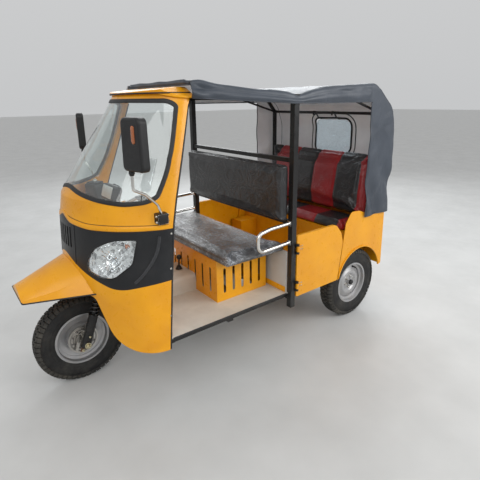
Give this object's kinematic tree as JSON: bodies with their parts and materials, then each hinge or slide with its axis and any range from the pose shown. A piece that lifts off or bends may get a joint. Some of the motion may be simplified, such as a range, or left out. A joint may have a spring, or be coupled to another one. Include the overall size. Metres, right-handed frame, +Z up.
{
  "type": "auto rickshaw",
  "caption": "Passenger auto rickshaw with a steered front wheel, open cab, bench seats, half doors and a cloth canopy over a tube frame.",
  "frame": {"origin": "on the floor, at the bottom centre of the overall box", "axes": "+X to the vehicle's left side, +Y to its rear, +Z up; it faces -Y"},
  "size_m": [1.4485, 2.693, 1.8579],
  "materials": {
    "body_paint": "amber-yellow gloss paint",
    "panel_paint": "near-black satin paint",
    "lamp": "clear faceted lens over a bright reflector",
    "lamp_red": "red lens",
    "clear_glass": "clear laminated glass",
    "window_film": "clear flexible window sheet",
    "black_steel": "black gloss enamel",
    "canopy_cloth": "coated cloth, dark blue-grey",
    "black_vinyl": "black vinyl under clear film",
    "red_vinyl": "red and black vinyl",
    "floor_sheet": "beige painted sheet, satin",
    "grey_board": "light grey painted board",
    "stainless": "polished tube",
    "bright_steel": "bare and zinc-plated steel",
    "rim_paint": "silver-grey paint",
    "tyre_rubber": "road tyre rubber",
    "black_rubber": "moulded rubber",
    "black_plastic": "moulded black plastic",
    "engine_metal": "cast and machined metal"
  },
  "bodies": {
    "vehicle": {"front_apron": "body_paint", "headlamp_panel": "panel_paint", "headlights": "lamp", "windscreen_surround": "body_paint", "windscreen": "clear_glass", "brow": "body_paint", "front_fender": "body_paint", "floor_pan": "floor_sheet", "front_bulkhead": "body_paint", "armrests": "stainless", "canopy_frame": "black_steel", "canopy": "canopy_cloth", "rear_window": "window_film", "rear_body": "body_paint", "passenger_floor": "body_paint", "chassis_frame": "black_steel", "leaf_springs": "black_steel", "engine": "engine_metal", "exhaust": "bright_steel", "mirror_arms": "stainless", "mirror_heads": "black_plastic", "tail_lamps": "lamp_red", "rear_bumper": "black_steel", "gear_lever": "black_plastic", "seat_box": "body_paint", "driver_seat": "black_vinyl", "driver_backrest": "black_vinyl", "partition_board": "grey_board", "passenger_seat": "red_vinyl", "passenger_backrest": "red_vinyl", "rear_axle": "black_steel"},
    "steering": {"fork_yokes": "black_steel", "fork_legs": "black_steel", "fork_springs": "black_rubber", "brake_plate": "bright_steel", "handlebar": "bright_steel", "handlebar_controls": "black_rubber"},
    "front_wheel": {"front_rim": "rim_paint", "front_tyre": "tyre_rubber"},
    "rear_wheel_left": {"rear_rim_left": "rim_paint", "rear_tyre_left": "tyre_rubber"},
    "rear_wheel_right": {"rear_rim_right": "rim_paint", "rear_tyre_right": "tyre_rubber"},
    "door_left": {"door_left": "body_paint"},
    "door_right": {"door_right": "body_paint"}
  },
  "joints": [
    {"name": "steering", "type": "hinge", "parent": "vehicle", "child": "steering", "pos_m": [0, -0.99041, 0.27032], "axis": [0, 0.342, 0.9397], "range_deg": [-35, 35]},
    {"name": "front_wheel_spin", "type": "hinge", "parent": "steering", "child": "front_wheel", "pos_m": [0, -1.028, 0.284], "axis": [1, 0, 0], "continuous": true},
    {"name": "rear_wheel_spin_left", "type": "hinge", "parent": "vehicle", "child": "rear_wheel_left", "pos_m": [0.555, 0.972, 0.284], "axis": [1, 0, 0], "continuous": true},
    {"name": "rear_wheel_spin_right", "type": "hinge", "parent": "vehicle", "child": "rear_wheel_right", "pos_m": [-0.555, 0.972, 0.284], "axis": [1, 0, 0], "continuous": true},
    {"name": "door_hinge_left", "type": "hinge", "parent": "vehicle", "child": "door_left", "pos_m": [0.654, 0.2815, 0.618], "axis": [0, 0, -1], "range_deg": [0, 85]},
    {"name": "door_hinge_right", "type": "hinge", "parent": "vehicle", "child": "door_right", "pos_m": [-0.654, 0.2815, 0.618], "axis": [0, 0, 1], "range_deg": [0, 85]}
  ]
}
